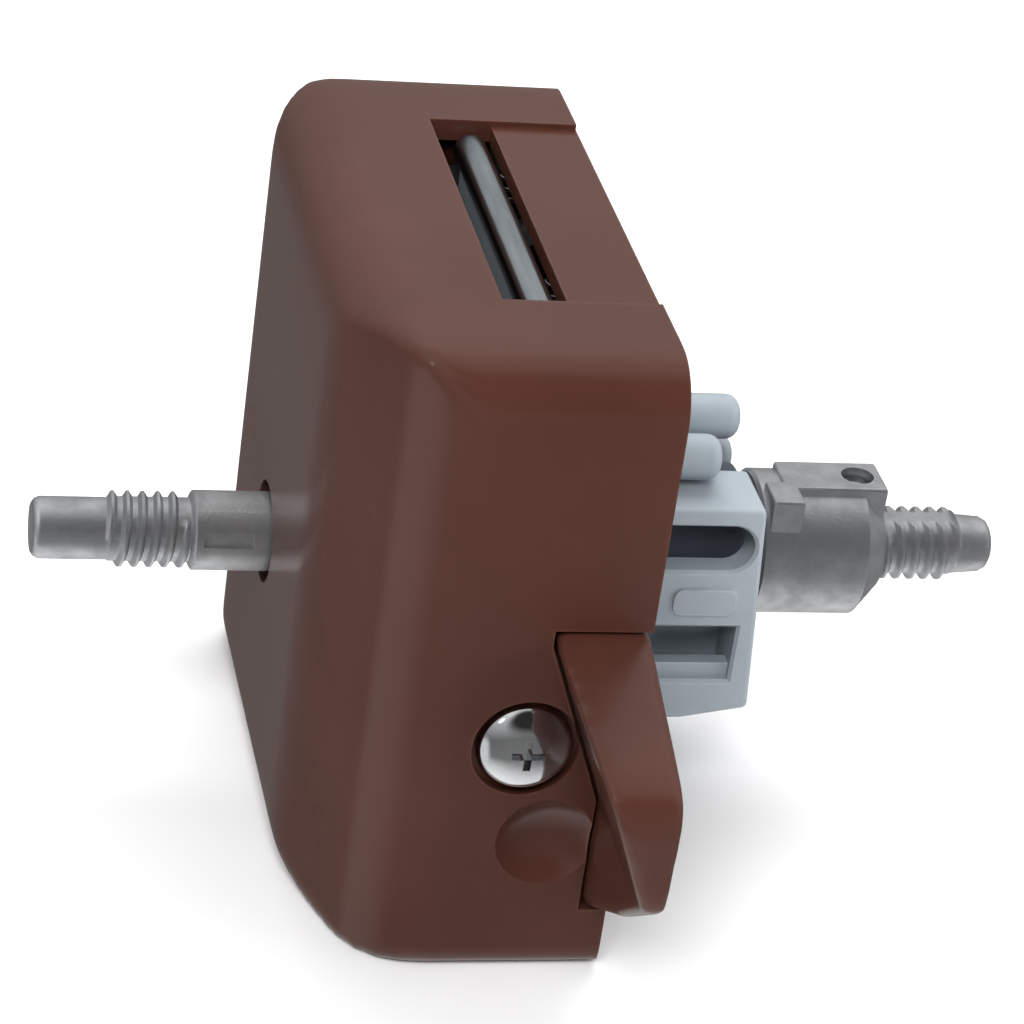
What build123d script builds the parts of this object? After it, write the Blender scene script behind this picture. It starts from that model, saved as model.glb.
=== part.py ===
from build123d import *
import math
import os

# Rim-mounted push-button door lock.
# Frame: origin on the spindle's axis, in the plane of the door's face. +X runs along the spindle
# through the door to its outer side, +Y runs away from the latch claw, and +Z is up.

# Casing on the inner face of the door
caseDepth = 26.6
spindleToBack = 22.5
spindleToFront = 35.5
spindleToTop = 35.5
spindleToBottom = 22.5
wall = 2.0
facetStartY = -20.0
facetDepth = 5.7
outerEdgeR = 6.0
endEdgeR = 5.0
bottomEdgeR = 3.4
creaseR = 14.0
plateThick = 2.0
outerX = -caseDepth
innerX = outerX + wall
plateX = -plateThick
frontY = -spindleToFront
backY = spindleToBack
topZ = spindleToTop
bottomZ = -spindleToBottom
handHoleR = 4.65

# Window in the top wall and the locking bar under it
windowX = (-13.5, -7.85)
windowY = (-22.8, 12.6)
stripDepth = 0.5
barR = 1.5
barX = -9.7
barZ = 33.1
barY = (-22.5, 12.1)

# Travels: the push stroke is along -X, the bar rises half as far, the claw draws back along +Y
pushTravel = 6.0
liftSlope = 0.5
pinionTeeth = 12
gearModule = 1.0
pinionR = pinionTeeth * gearModule / 2

# Spindle: inner end, thread and tip, then the barrel and the outer stub
collarR = 3.6
crestR = 3.4
rootR = 2.9
ridgePitch = 1.36
ridgeCount = 5
crestHalf = 0.12
collarEndX = -33.3
threadEndX = -40.7
tipEndX = -47.6
tipR = 2.8
barrelX = (18.3, 30.9)
barrelR = 6.7
stubThreadEndX = 38.3
stubEndX = 42.0
driveSide = 3.4
spindleInnerX = -9.5
flatHalf = 3.0
fitGap = 0.08

# Claw: how far it stands out of the end face, and its width along the spindle
clawReach = 17.0
clawWidth = 8.0
clawGap = 0.3
rootX = -7.6

# Pan-head screw in the end face
screwX = -9.3
screwZ = 0.2
screwHeadR = 4.15
screwSink = 1.0
scoopR = 5.0
scoopDepth = 1.5

# Plate that keeps the pinion in place: its span along X, and its two screws as (y, z)
keeperX = (-15.7, -14.7)
keeperPlaces = [(-8.0, 8.0), (8.0, 8.0)]

# Push sleeve, its wedge, and the foot of the bar carrier that rides on it
sleeveX = (-8.0, 16.6)
armTopZ = 20.0
wedgeX = (-12.0, -2.6)
wedgeBottomZ = 17.0
wedgeZ = 20.0
footX = (-10.7, -8.7)
footGap = 0.1
carrierZ = 26.0
barSpringX = -6.3
barSpringY = (-14.0, 7.0)
barSpringZ = 28.5

# Detent ball under the push sleeve
detentX = 4.0
detentR = 1.2
detentZ = -7.9

# Latch slide, its guide rod and its rack
slideX = (-19.8, -8.2)
slideY = (-30.2, 4.5)
slideZ = (-15.4, -9.2)
rackX = (-19.6, -16.2)
latchRodX = -13.6
latchRodZ = -12.4
latchRodR = 1.25
rivetY = -28.6
rivetZ = (-2.0, 6.0)

# Cross pin through the barrel
pinX = 28.2
pinHoleR = 1.55
pinR = 1.3

# Pegs on the door side of the plate: y, z, radius and how far each reaches
pegPlaces = [(3.4, 11.1, 2.1, 16.8), (-4.4, 11.1, 2.1, 13.2), (8.0, 4.6, 1.9, 18.2)]
pegGap = 0.02

# Guide through the door
guideHalf = 10.0
guideInner = 7.9
guideTopZ = 8.7
guideBottomZ = -13.4
guideEndX = 18.0


def block(x, y, z):
    """A box from its low and high values on each axis."""
    size = (x[1] - x[0], y[1] - y[0], z[1] - z[0])
    middle = ((x[0] + x[1]) / 2, (y[0] + y[1]) / 2, (z[0] + z[1]) / 2)
    return Pos(*middle) * Box(*size)


def rodX(radius, x0, x1, y=0.0, z=0.0):
    return Pos((x0 + x1) / 2, y, z) * Rot(0, 90, 0) * Cylinder(radius, abs(x1 - x0))


def rodY(radius, y0, y1, x, z):
    return Pos(x, (y0 + y1) / 2, z) * Rot(90, 0, 0) * Cylinder(radius, abs(y1 - y0))


def rodZ(radius, z0, z1, x, y):
    return Pos(x, y, (z0 + z1) / 2) * Cylinder(radius, abs(z1 - z0))


def slabX(points, x0, x1):
    """A slab between x0 and x1 whose outline is given as (y, z) points."""
    face = Plane.YZ.offset(x0) * make_face(Polyline(*points, close=True))
    return extrude(face, amount=x1 - x0, dir=(1, 0, 0))


def slabY(points, y0, y1):
    """A slab between y0 and y1 whose outline is given as (x, z) points."""
    wire = Polyline(*[(x, y0, z) for x, z in points], close=True)
    return extrude(make_face(wire), amount=y1 - y0, dir=(0, 1, 0))


def turned(points):
    """A solid turned about the X axis from (x, radius) points."""
    outline = [(x, 0, r) for x, r in points]
    return revolve(make_face(Polyline(*outline, close=True)), Axis.X)


def screw(headR, headH, shankR, length, driveR):
    """A pan-head screw along +Z: the head's seat is at z 0 and the point at -length."""
    head = Pos(0, 0, headH / 2) * Cylinder(headR, headH)
    head = fillet(head.edges().group_by(Axis.Z)[-1], headH * 0.6)
    shank = Pos(0, 0, -length / 2) * Cylinder(shankR, length)
    shank = chamfer(shank.edges().group_by(Axis.Z)[0], shankR * 0.5)
    slotLong = Pos(0, 0, headH) * Box(driveR * 2, driveR * 0.45, headH)
    slotWide = Pos(0, 0, headH) * Box(driveR * 0.45, driveR * 2, headH)
    return head + shank - slotLong - slotWide


def coil(radius, wireR, length, turns):
    """A compression spring along +Z from 0 to length, open ended."""
    path = Helix(pitch=(length - 2 * wireR) / turns, height=length - 2 * wireR, radius=radius)
    section = Plane(origin=path @ 0, z_dir=path % 0) * Circle(wireR)
    return Pos(0, 0, wireR) * sweep(section, path=path, is_frenet=True)


def softBox(low, high, radii):
    """A rectangle in the working plane with its own radius at each corner, from the low corner round."""
    corners = [(low[0], low[1]), (high[0], low[1]), (high[0], high[1]), (low[0], high[1])]
    face = make_face(Polyline(*corners, close=True))
    return rounded(face, corners, radii)


def rounded(face, corners, radii):
    """The face with its corners rounded, one radius for each; 0 leaves a corner sharp."""
    for corner, radius in zip(corners, radii):
        if radius > 0:
            here = [v for v in face.vertices() if math.dist((v.X, v.Y), corner) < 0.01]
            face = fillet(here, radius)
    return face


def caseForm(inset):
    """The casing's outer form, or with an inset the hollow inside it: three outlines crossed."""
    x0, y0, y1 = outerX + inset, frontY + inset, backY - inset
    z0, z1 = bottomZ + inset, topZ - inset
    slope = facetDepth / (facetStartY - frontY)
    facetY = facetStartY + inset * (math.sqrt(1 + slope * slope) - 1) / slope
    cornerX = x0 + slope * (facetY - y0)
    corners = [(0, y0), (cornerX, y0), (x0, facetY), (x0, y1), (0, y1)]
    radii = [0, endEdgeR - inset, creaseR, outerEdgeR - inset, 0]
    plan = rounded(make_face(Polyline(*corners, close=True)), corners, radii)
    side = softBox((x0, z0), (0, z1), (bottomEdgeR - inset / 2, 0, 0, outerEdgeR - inset))
    front = softBox((y0, z0), (y1, z1), (1.5 - inset / 3, 3 - inset / 2, 2 - inset / 2, endEdgeR - inset))
    alongZ = Pos(0, 0, z0) * extrude(plan, amount=z1 - z0)
    sidePlane = Plane(origin=(0, y1, 0), x_dir=(1, 0, 0), z_dir=(0, -1, 0))
    alongY = extrude(sidePlane * side, amount=y1 - y0)
    alongX = extrude(Plane.YZ.offset(x0) * front, amount=-x0)
    return alongZ & alongY & alongX


def windowCut():
    """The window over the locking bar and the shallow strip between it and the door."""
    window = block(windowX, windowY, (topZ - 6, topZ + 1))
    strip = block((windowX[1] - 0.1, 1), windowY, (topZ - stripDepth, topZ + 1))
    return window + strip


def clawSection(gap):
    """The claw's section across Y, wide at the top and a narrow web at the bottom, as (x, z) points."""
    return [
        (gap, 11.4 + gap), (-clawWidth - gap, 11.4 + gap), (-clawWidth - gap, 10.2),
        (-2.2 - gap, -5.0), (-2.2 - gap, -16.0 - gap), (gap, -16.0 - gap),
    ]


def caseBosses(hollow):
    """Screw bosses at the casing's four corners."""
    posts = [rodX(2.3, innerX - 0.5, plateX, y, z) for y, z in bossPlaces()]
    posts += [rodX(1.9, innerX - 0.5, keeperX[0], y, z) for y, z in keeperPlaces]
    return sum(posts[1:], posts[0]) & hollow


def bossPlaces():
    return [(frontY + 5.0, topZ - 5.0), (backY - 4.8, topZ - 4.8),
            (backY - 4.8, bottomZ + 4.8), (-12.0, bottomZ + 4.8)]


def casing():
    hollow = caseForm(wall)
    shell = caseForm(0) - hollow - block((plateX, 1), (frontY + wall, backY - wall), (bottomZ + wall, topZ - wall))
    bushSeat = rodX(8.0, innerX - 0.5, innerX + 2.0) - rodX(6.0, innerX, innerX + 3.0)
    rodSeat = rodY(4.2, backY - 4.0, backY - 1.0, latchRodX, latchRodZ)
    shell = shell + bushSeat + rodSeat + caseBosses(hollow)
    shell -= windowCut()
    shell -= rodX(handHoleR, outerX - 1, innerX + 3.0)
    opening = clawSection(clawGap)
    opening[0], opening[-1] = (1.0, opening[0][1]), (1.0, opening[-1][1])
    shell -= slabY(opening, frontY - 1, frontY + wall + 0.5)
    shell -= Pos(-6.6, frontY - scoopR + scoopDepth, -9.0) * Sphere(scoopR)
    shell -= rodY(screwHeadR + 0.45, frontY - 1, frontY + screwSink, screwX, screwZ)
    shell -= rodY(1.4, frontY, frontY + 6.0, screwX, screwZ)
    shell -= rodY(latchRodR, backY - 4.5, backY - 1.0, latchRodX, latchRodZ)
    for y, z in bossPlaces():
        shell -= rodX(1.1, plateX - 9.0, plateX + 0.1, y, z)
    for y, z in keeperPlaces:
        shell -= rodX(0.8, keeperX[0] - 5.0, keeperX[0] + 0.1, y, z)
    return shell


def basePlate():
    """Plate that closes the casing on the door side, cut away round the claw and the guide."""
    inset = wall + 0.15
    plate = block((plateX, 0), (frontY + inset, backY - inset), (bottomZ + inset, topZ - inset))
    plate -= block((plateX - 1, 1), (frontY, -14.5), (-16.8, 12.2))
    plate -= block((plateX - 1, 1), (-guideHalf - 0.1, guideHalf + 0.1), (guideBottomZ - 0.1, guideTopZ + 0.1))
    for y, z, r, reach in pegPlaces:
        plate -= rodX(r + pegGap, plateX - 1, 1, y, z)
    for y, z in bossPlaces():
        plate -= rodX(1.35, plateX - 1, 1, y, z)
        plate -= rodX(2.15, -1.1, 1, y, z)
    return plate


def caseScrews():
    """Four self-tapping screws from the door side into the casing's bosses."""
    group = []
    for y, z in bossPlaces():
        one = screw(2.0, 1.0, 1.1, 8.0, 1.2)
        group.append(Pos(-1.1, y, z) * Rot(0, 90, 0) * one)
    return Compound(children=group)


def pegs():
    """Round-ended pegs that stand on the door face above the guide."""
    group = []
    for y, z, r, reach in pegPlaces:
        peg = rodX(r, plateX, reach, y, z)
        peg = fillet(peg.edges().group_by(Axis.X)[-1], r * 0.6)
        group.append(peg)
    return Compound(children=group)


def guide():
    """Cradle through the door, open at the top and back, with two windows in its front wall."""
    side = [(plateX, guideTopZ), (guideEndX - 1.2, guideTopZ), (guideEndX + 0.3, -12.2),
            (12.0, guideBottomZ), (plateX, guideBottomZ)]
    body = slabY(side, -guideHalf, guideHalf)
    body -= rodX(guideInner, -5, 30)
    body -= block((-5, 30), (-2.6, 30), (0, 30))
    body -= block((-5, 30), (guideInner - 0.4, 30), (-3.5, 30))
    upper = block((4.0, 14.0), (-guideHalf - 1, -guideInner + 3), (2.4, 7.0))
    upper += rodY(2.3, -guideHalf - 1, -guideInner + 3, 14.0, 4.7)
    lower = block((4.0, 15.9), (-guideHalf - 1, -guideInner + 3), (-9.2, -3.5))
    ledge = block((3.9, 16.0), (-guideHalf + 0.9, -guideInner + 0.1), (-9.3, -7.8))
    raised = block((9.4, 15.3), (-guideHalf - 0.3, -guideHalf + 1), (-2.1, 0.6))
    raised = fillet(raised.edges().filter_by(Axis.Y), 0.9)
    flange = block((-4.0, plateX), (-guideHalf - 1.5, guideHalf + 1.5), (guideBottomZ - 1.2, guideTopZ + 5.4))
    flange -= rodX(guideInner, -5, 0)
    body = body - upper - lower + ledge + raised + flange
    body -= block((-5, plateX), (-3.3, 3.3), (0, 30))
    return body - rodZ(detentR + 0.1, -12.6, -5, detentX, 0)


def ridges(x0, count, towards):
    """Screw ridges as rings: (x, radius) points of a saw-tooth run that starts at a root at x0."""
    points = []
    for i in range(count):
        start = x0 + towards * ridgePitch * i
        crest = start + towards * ridgePitch / 2
        points += [(start, rootR), (crest - towards * crestHalf, crestR), (crest + towards * crestHalf, crestR)]
    return points


def innerSpindle():
    """Room-side end: a collar with two flats inside, screw ridges and a plain tip."""
    outline = [(spindleInnerX, 0), (spindleInnerX, collarR), (collarEndX, collarR)]
    outline += ridges(collarEndX - 0.5, ridgeCount, -1)
    outline += [(threadEndX, tipR), (tipEndX + 0.7, tipR), (tipEndX, tipR - 0.6), (tipEndX, 0)]
    solid = turned(outline)
    solid -= block((-32.5, -28.0), (-5, -collarR + 0.35), (0.2, 2.0))
    solid -= block((-22.5, 0), (-5, 5), (flatHalf, 5))
    solid -= block((-22.5, 0), (-5, 5), (-5, -flatHalf))
    half = driveSide / 2
    return solid - block((-24, 0), (-half, half), (-half, half))


def driveBar():
    """Square bar that joins the two spindle ends and slides through the pinion."""
    half = driveSide / 2
    return block((-24, 26), (-half, half), (-half, half))


def gearWheel(teeth, module, addendum, dedendum, thick, x0, x1):
    """A spur wheel about the X axis with straight-sided teeth; a gap points down."""
    pitchR = teeth * module / 2
    points = []
    for i in range(teeth):
        middle = math.radians(-90) + (i + 0.5) * 2 * math.pi / teeth
        for radius, half in ((pitchR - dedendum, thick * 0.72), (pitchR + addendum, thick * 0.3)):
            points.append((middle - half / pitchR, radius))
        for radius, half in ((pitchR + addendum, thick * 0.3), (pitchR - dedendum, thick * 0.72)):
            points.append((middle + half / pitchR, radius))
    outline = [(radius * math.cos(angle), radius * math.sin(angle)) for angle, radius in points]
    return slabX(outline, x0, x1)


def drivePinion():
    """Pinion with a two-flat bore: the spindle turns it and slides through it."""
    wheel = gearWheel(pinionTeeth, gearModule, 0.75, 1.1, 1.2, -19.8, -16.0)
    wheel += rodX(4.6, -22.0, -19.8)
    bore = rodX(collarR + fitGap, -23, -10)
    bore &= block((-23, -10), (-5, 5), (-flatHalf - fitGap, flatHalf + fitGap))
    return wheel - bore


def keeperPlate():
    """Plate across two casing posts that stops the pinion sliding with the spindle."""
    plate = block(keeperX, (-10.2, 10.2), (-6.4, 10.2))
    return plate - rodX(4.2, -20, 0) - keeperHoles(0.8)


def keeperHoles(radius):
    holes = [rodX(radius, keeperX[0] - 1, keeperX[1] + 1, y, z) for y, z in keeperPlaces]
    return holes[0] + holes[1]


def keeperScrews():
    group = []
    for y, z in keeperPlaces:
        group.append(Pos(keeperX[1], y, z) * Rot(0, 90, 0) * screw(1.5, 0.8, 0.8, 5.0, 0.9))
    return Compound(children=group)


def handBush():
    """Flanged bush in the casing's outer wall that carries the spindle's collar."""
    bush = rodX(5.95, innerX, innerX + 2.4)
    return bush - rodX(collarR + fitGap, innerX - 1, innerX + 4)


def outerBarrel():
    """Zinc barrel on the door's outer side: a lug, a land with the cross-pin hole, a coned nose."""
    x0, x1 = barrelX
    body = turned([(x0 - 1.5, 0), (x0 - 1.5, 5.0), (x0, 5.0), (x0, barrelR), (x1 - 2.4, barrelR), (x1, 4.2), (x1, 0)])
    land = block((x0 + 2.4, x1 - 0.3), (-2.6, 2.6), (0, barrelR + 0.35)) & rodX(barrelR + 0.55, x0, x1)
    lug = block((x0 + 0.6, x0 + 3.6), (-5.4, -1.4), (2.0, barrelR + 0.4)) & rodX(barrelR + 1.0, x0, x1)
    half = driveSide / 2
    body = body + land + lug - block((x0 - 2, 26), (-half, half), (-half, half))
    return body - rodZ(pinHoleR, -barrelR - 2, barrelR + 2, pinX, 0) - rodX(rootR, x1 - 1.0, x1 + 1)


def crossPin():
    pin = rodZ(pinR, -barrelR + 0.5, barrelR - 0.4, pinX, 0)
    return fillet(pin.edges(), 0.4)


def outerSpindle():
    """Ridged stub with two flats and a tapered tip on the door's outer side."""
    start = barrelX[1] - 1.0
    outline = [(start, 0), (start, rootR - 0.02), (barrelX[1], rootR - 0.02)]
    outline += ridges(barrelX[1] + 0.2, ridgeCount, 1)
    outline += [(stubThreadEndX, rootR), (stubEndX - 0.8, tipR - 0.2), (stubEndX, tipR - 0.9), (stubEndX, 0)]
    solid = turned(outline)
    return solid - block((barrelX[1] + 0.2, stubThreadEndX), (-4, 4), (rootR - 0.1, 4))


def pushSleeve():
    """Sliding drum in the guide, with an arm and a wedge that lifts the bar carrier."""
    run = guideInner - 0.7
    drum = rodX(run, sleeveX[0], sleeveX[1])
    arm = block((sleeveX[0], sleeveX[0] + 3.0), (-3, 3), (run - 1.0, armTopZ))
    low, high = wedgeX
    highZ = wedgeZ + (high - low) * liftSlope
    wedge = slabY([(low, wedgeBottomZ), (low, wedgeZ), (high, highZ), (high, wedgeBottomZ)], -3, 3)
    track = block((detentX - 1.3, detentX + pushTravel + 1.3), (-1.35, 1.35), (-run - 1, -run + 0.9))
    return drum + arm + wedge - rodX(3.0, -9, 20) - track


def detentBall():
    return Pos(detentX, 0, detentZ) * Sphere(detentR)


def detentSpring():
    return Pos(detentX, 0, -12.5) * coil(0.9, 0.15, 3.3, 5)


def screwPlate():
    """Threaded steel plate behind the end wall that takes the end screw."""
    plate = block((-14.6, rootX - 0.15), (frontY + wall, frontY + wall + 2.6), (-4.0, 4.4))
    return plate - rodY(1.25, frontY, frontY + 8, screwX, screwZ)


def sleeveClip():
    """Ring on the drive bar that draws the sleeve back with the spindle."""
    half = driveSide / 2
    return rodX(3.4, -9.3, -8.2) - block((-10, -8), (-half, half), (-half, half))


def barCarrier():
    """Plate under the locking bar with a slanted foot on the wedge and two spring ledges."""
    x0, x1 = footX
    seat = [wedgeZ + (x - wedgeX[0]) * liftSlope + footGap for x in footX]
    foot = [(x0, seat[0]), (x1, seat[1]), (x1, carrierZ + 0.1), (x0, carrierZ + 0.1)]
    plate = block(footX, (-20.0, 10.0), (carrierZ, barZ - 0.9))
    plate += slabY(foot, -3, 3)
    for y in barSpringY:
        plate += block((-9.0, barSpringX + 1.9), (y - 2.0, y + 2.0), (barSpringZ - 1.5, barSpringZ - 0.1))
    return plate - rodY(barR + 0.03, -30, 20, barX, barZ)


def lockingBar():
    bar = rodY(barR, barY[0], barY[1], barX, barZ)
    return fillet(bar.edges(), 0.7)


def barGuide():
    """Frame under the top wall with a slot at each end for the carrier."""
    back = block((-13.4, -11.0), (-23.6, 13.6), (24.0, 30.6))
    for y0, y1 in ((-23.6, -20.2), (10.2, 13.6)):
        back += block((-11.2, -4.5), (y0, y1), (24.0, 30.6))
        back += block((-7.4, -4.5), (y0, y1), (30.0, topZ - wall))
    return back


def barSprings():
    group = []
    for y in barSpringY:
        group.append(Pos(barSpringX, y, barSpringZ) * coil(1.4, 0.2, topZ - wall - barSpringZ - 0.1, 5))
    return Compound(children=group)


def latchClaw():
    """Beak that stands out of the end face, and its wider root inside the casing."""
    beak = slabX(clawProfile(), -clawWidth, 0) & slabY(clawSection(0), frontY - clawReach - 1, frontY + 2.5)
    root = block((rootX, -0.4), (frontY + 2.3, frontY + 8.8), (-15.4, 11.4))
    return beak + root - rivets()


def clawProfile():
    """The beak from the side, as (y, z) points: straight back, round nose, sharp lower tip."""
    nose = [(frontY - 14.3, 6.8), (frontY - 16.2, 5.7), (frontY - 17.0, 3.6)]
    under = [(frontY - 16.4, -4.9), (frontY - 9.5, -10.2), (frontY, -16.0)]
    return [(frontY + 2.5, 11.4), (frontY, 11.4)] + nose + under + [(frontY + 2.5, -16.0)]


def latchSlide():
    """Carriage behind the claw with a rack along its top that the pinion drives."""
    body = block(slideX, slideY, slideZ)
    body += block((-12.0, rootX), (slideY[0], -22.5), (slideZ[0], 9.0))
    rackTop = -pinionR - 1.15
    body += block(rackX, (-15.0, slideY[1]), (slideZ[1] - 0.8, rackTop))
    for i in range(-4, 2):
        middle = i * math.pi * gearModule
        tooth = [(middle - 0.9, rackTop - 0.1), (middle - 0.35, -pinionR + 0.75),
                 (middle + 0.35, -pinionR + 0.75), (middle + 0.9, rackTop - 0.1)]
        body += slabX(tooth, *rackX)
    return body - rodY(latchRodR + fitGap, -19.0, 5.0, latchRodX, latchRodZ) - rivets()


def rivets():
    """Two rivets that hold the claw to the slide."""
    pair = [rodX(1.0, -12.6, -1.6, rivetY, z) + rodX(1.7, -13.4, -12.0, rivetY, z) for z in rivetZ]
    return pair[0] + pair[1]


def latchRod():
    return rodY(latchRodR, -6.0, backY - wall, latchRodX, latchRodZ)


def latchSpring():
    length = backY - 4.0 - 4.5 - 0.2
    return Pos(latchRodX, 4.6, latchRodZ) * Rot(-90, 0, 0) * coil(2.0, 0.25, length, 8)


def endScrew():
    """Chrome pan-head screw in the end face."""
    one = screw(screwHeadR, 2.3, 1.25, 3.9, 2.2)
    return Pos(screwX, frontY + screwSink, screwZ) * Rot(90, 0, 0) * one


nodes = {
    "casing": casing, "base_plate": basePlate, "case_screws": caseScrews, "end_screw": endScrew,
    "door_pegs": pegs, "guide": guide, "hand_bush": handBush, "inner_spindle": innerSpindle,
    "drive_bar": driveBar, "screw_plate": screwPlate,
    "keeper_plate": keeperPlate, "keeper_screws": keeperScrews,
    "detent_ball": detentBall, "detent_spring": detentSpring, "outer_barrel": outerBarrel, "cross_pin": crossPin,
    "outer_spindle": outerSpindle, "drive_pinion": drivePinion, "push_sleeve": pushSleeve,
    "sleeve_clip": sleeveClip, "locking_bar": lockingBar, "bar_carrier": barCarrier,
    "bar_guide": barGuide, "bar_springs": barSprings, "latch_claw": latchClaw,
    "latch_slide": latchSlide, "claw_rivets": rivets, "latch_rod": latchRod,
    "latch_spring": latchSpring,
}

os.makedirs("parts", exist_ok=True)
for name, make in nodes.items():
    export_step(make(), f"parts/{name}.step")
    print("wrote", name)
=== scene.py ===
import bmesh
import bpy
import math
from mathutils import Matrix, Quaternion, Vector


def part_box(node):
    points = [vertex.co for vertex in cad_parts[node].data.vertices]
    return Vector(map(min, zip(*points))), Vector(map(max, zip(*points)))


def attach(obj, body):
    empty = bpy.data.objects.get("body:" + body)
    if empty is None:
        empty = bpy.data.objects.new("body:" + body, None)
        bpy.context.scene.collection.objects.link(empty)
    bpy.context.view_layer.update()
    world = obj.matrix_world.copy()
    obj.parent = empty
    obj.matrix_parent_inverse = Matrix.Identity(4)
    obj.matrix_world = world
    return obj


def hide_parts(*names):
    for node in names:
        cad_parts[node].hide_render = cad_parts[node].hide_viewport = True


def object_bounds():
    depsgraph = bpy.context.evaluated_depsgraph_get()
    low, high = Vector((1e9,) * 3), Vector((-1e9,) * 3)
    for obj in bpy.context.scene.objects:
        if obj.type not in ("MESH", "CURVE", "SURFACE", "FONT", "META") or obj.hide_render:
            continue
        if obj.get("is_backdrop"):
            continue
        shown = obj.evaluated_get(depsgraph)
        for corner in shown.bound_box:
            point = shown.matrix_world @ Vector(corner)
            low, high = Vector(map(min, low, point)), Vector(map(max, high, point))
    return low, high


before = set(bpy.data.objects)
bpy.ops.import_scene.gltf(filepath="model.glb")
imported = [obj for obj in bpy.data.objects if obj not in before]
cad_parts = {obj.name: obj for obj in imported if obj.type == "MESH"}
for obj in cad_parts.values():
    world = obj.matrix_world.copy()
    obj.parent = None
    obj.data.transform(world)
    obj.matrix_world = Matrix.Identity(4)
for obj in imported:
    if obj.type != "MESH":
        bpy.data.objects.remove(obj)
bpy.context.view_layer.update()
print("frame loaded:", len(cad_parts), "nodes")

mm = 0.001  # every dictionary below is in millimetres
axisTurn = {"x": (0, math.pi / 2, 0), "y": (-math.pi / 2, 0, 0), "z": (0, 0, 0)}
axisIndex = {"x": 0, "y": 1, "z": 2}
over = 1  # how far a cutting or crossing tool stands out past the piece that it shapes


# small tools, used by every piece

def makeActive(obj):
    if bpy.context.object and bpy.context.object.mode != "OBJECT":
        bpy.ops.object.mode_set(mode="OBJECT")
    bpy.ops.object.select_all(action="DESELECT")
    obj.select_set(True)
    bpy.context.view_layer.objects.active = obj


def settle(name):
    obj = bpy.context.object
    obj.name = name
    obj.data.name = name
    bpy.ops.object.transform_apply(location=True, rotation=True, scale=True)
    return obj


def addBlock(name, x, y, z):
    bpy.ops.object.select_all(action="DESELECT")
    spans = (x, y, z)
    middle = [(low + high) / 2 * mm for low, high in spans]
    size = [(high - low) * mm for low, high in spans]
    bpy.ops.mesh.primitive_cube_add(size=1, location=middle, scale=size)
    return settle(name)


def alongAxis(axis, along, across=(0, 0)):
    place = list(across)
    place.insert(axisIndex[axis], along)
    return Vector(place) * mm


def addRod(name, axis, radius, start, end, across=(0, 0), sides=64):
    bpy.ops.object.select_all(action="DESELECT")
    middle = alongAxis(axis, (start + end) / 2, across)
    bpy.ops.mesh.primitive_cylinder_add(
        vertices=sides, radius=radius * mm, depth=abs(end - start) * mm,
        location=middle, rotation=axisTurn[axis])
    return settle(name)


def turnPiece(name, axis, stations, across=(0, 0), sides=64):
    # a round piece drawn out station by station: (place along the axis, radius)
    bpy.ops.object.select_all(action="DESELECT")
    along, radius = stations[0]
    bpy.ops.mesh.primitive_circle_add(
        vertices=sides, radius=radius * mm, fill_type="NGON",
        location=alongAxis(axis, along, across), rotation=axisTurn[axis])
    obj = settle(name)
    bpy.ops.object.mode_set(mode="EDIT")
    bpy.ops.mesh.select_all(action="SELECT")
    for nextAlong, nextRadius in stations[1:]:
        step = alongAxis(axis, nextAlong - along)
        bpy.ops.mesh.extrude_region_move(TRANSFORM_OT_translate={"value": step})
        grow = [nextRadius / radius] * 3
        grow[axisIndex[axis]] = 1
        bpy.ops.transform.resize(value=grow, center_override=alongAxis(axis, nextAlong, across))
        along, radius = nextAlong, nextRadius
    fixNormals(obj)
    return obj


def fixNormals(obj):
    makeActive(obj)
    bpy.ops.object.mode_set(mode="EDIT")
    bpy.ops.mesh.select_all(action="SELECT")
    bpy.ops.mesh.remove_doubles(threshold=0.002 * mm)
    bpy.ops.mesh.normals_make_consistent(inside=False)
    bpy.ops.object.mode_set(mode="OBJECT")


def selectIn(obj, kind, test):
    # edit mode with only the parts selected that pass the test, which is given their points in mm
    makeActive(obj)
    bpy.ops.object.mode_set(mode="EDIT")
    bpy.ops.mesh.select_mode(type=kind)
    bpy.ops.mesh.select_all(action="DESELECT")
    mesh = bmesh.from_edit_mesh(obj.data)
    count = 0
    for item in {"VERT": mesh.verts, "EDGE": mesh.edges, "FACE": mesh.faces}[kind]:
        points = [item.co] if kind == "VERT" else [v.co for v in item.verts]
        if test([p / mm for p in points], item):
            item.select_set(True)
            count += 1
    mesh.select_flush_mode()
    bmesh.update_edit_mesh(obj.data)
    return count


def sliceOff(obj, point, normal, keepBoth=False):
    # cuts with a plane; the side that the normal points to is removed
    makeActive(obj)
    bpy.ops.object.mode_set(mode="EDIT")
    bpy.ops.mesh.select_all(action="SELECT")
    bpy.ops.mesh.bisect(
        plane_co=Vector(point) * mm, plane_no=Vector(normal).normalized(), threshold=0.001 * mm,
        use_fill=not keepBoth, clear_outer=not keepBoth)
    bpy.ops.object.mode_set(mode="OBJECT")


def applyLast(obj):
    makeActive(obj)
    bpy.ops.object.modifier_apply(modifier=obj.modifiers[-1].name)


def combine(obj, tool, how):
    cut = obj.modifiers.new("cut", "BOOLEAN")
    cut.operation = how
    cut.solver = "EXACT"
    cut.object = tool
    applyLast(obj)
    bpy.data.objects.remove(tool)


def cutAway(obj, *tools):
    for tool in tools:
        combine(obj, tool, "DIFFERENCE")


def joinOn(obj, *tools):
    for tool in tools:
        combine(obj, tool, "UNION")


def softenEdges(obj, width, segments=2, angle=35):
    soft = obj.modifiers.new("soft", "BEVEL")
    soft.width = width * mm
    soft.segments = segments
    soft.limit_method = "ANGLE"
    soft.angle_limit = math.radians(angle)
    soft.use_clamp_overlap = True
    applyLast(obj)


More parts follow.
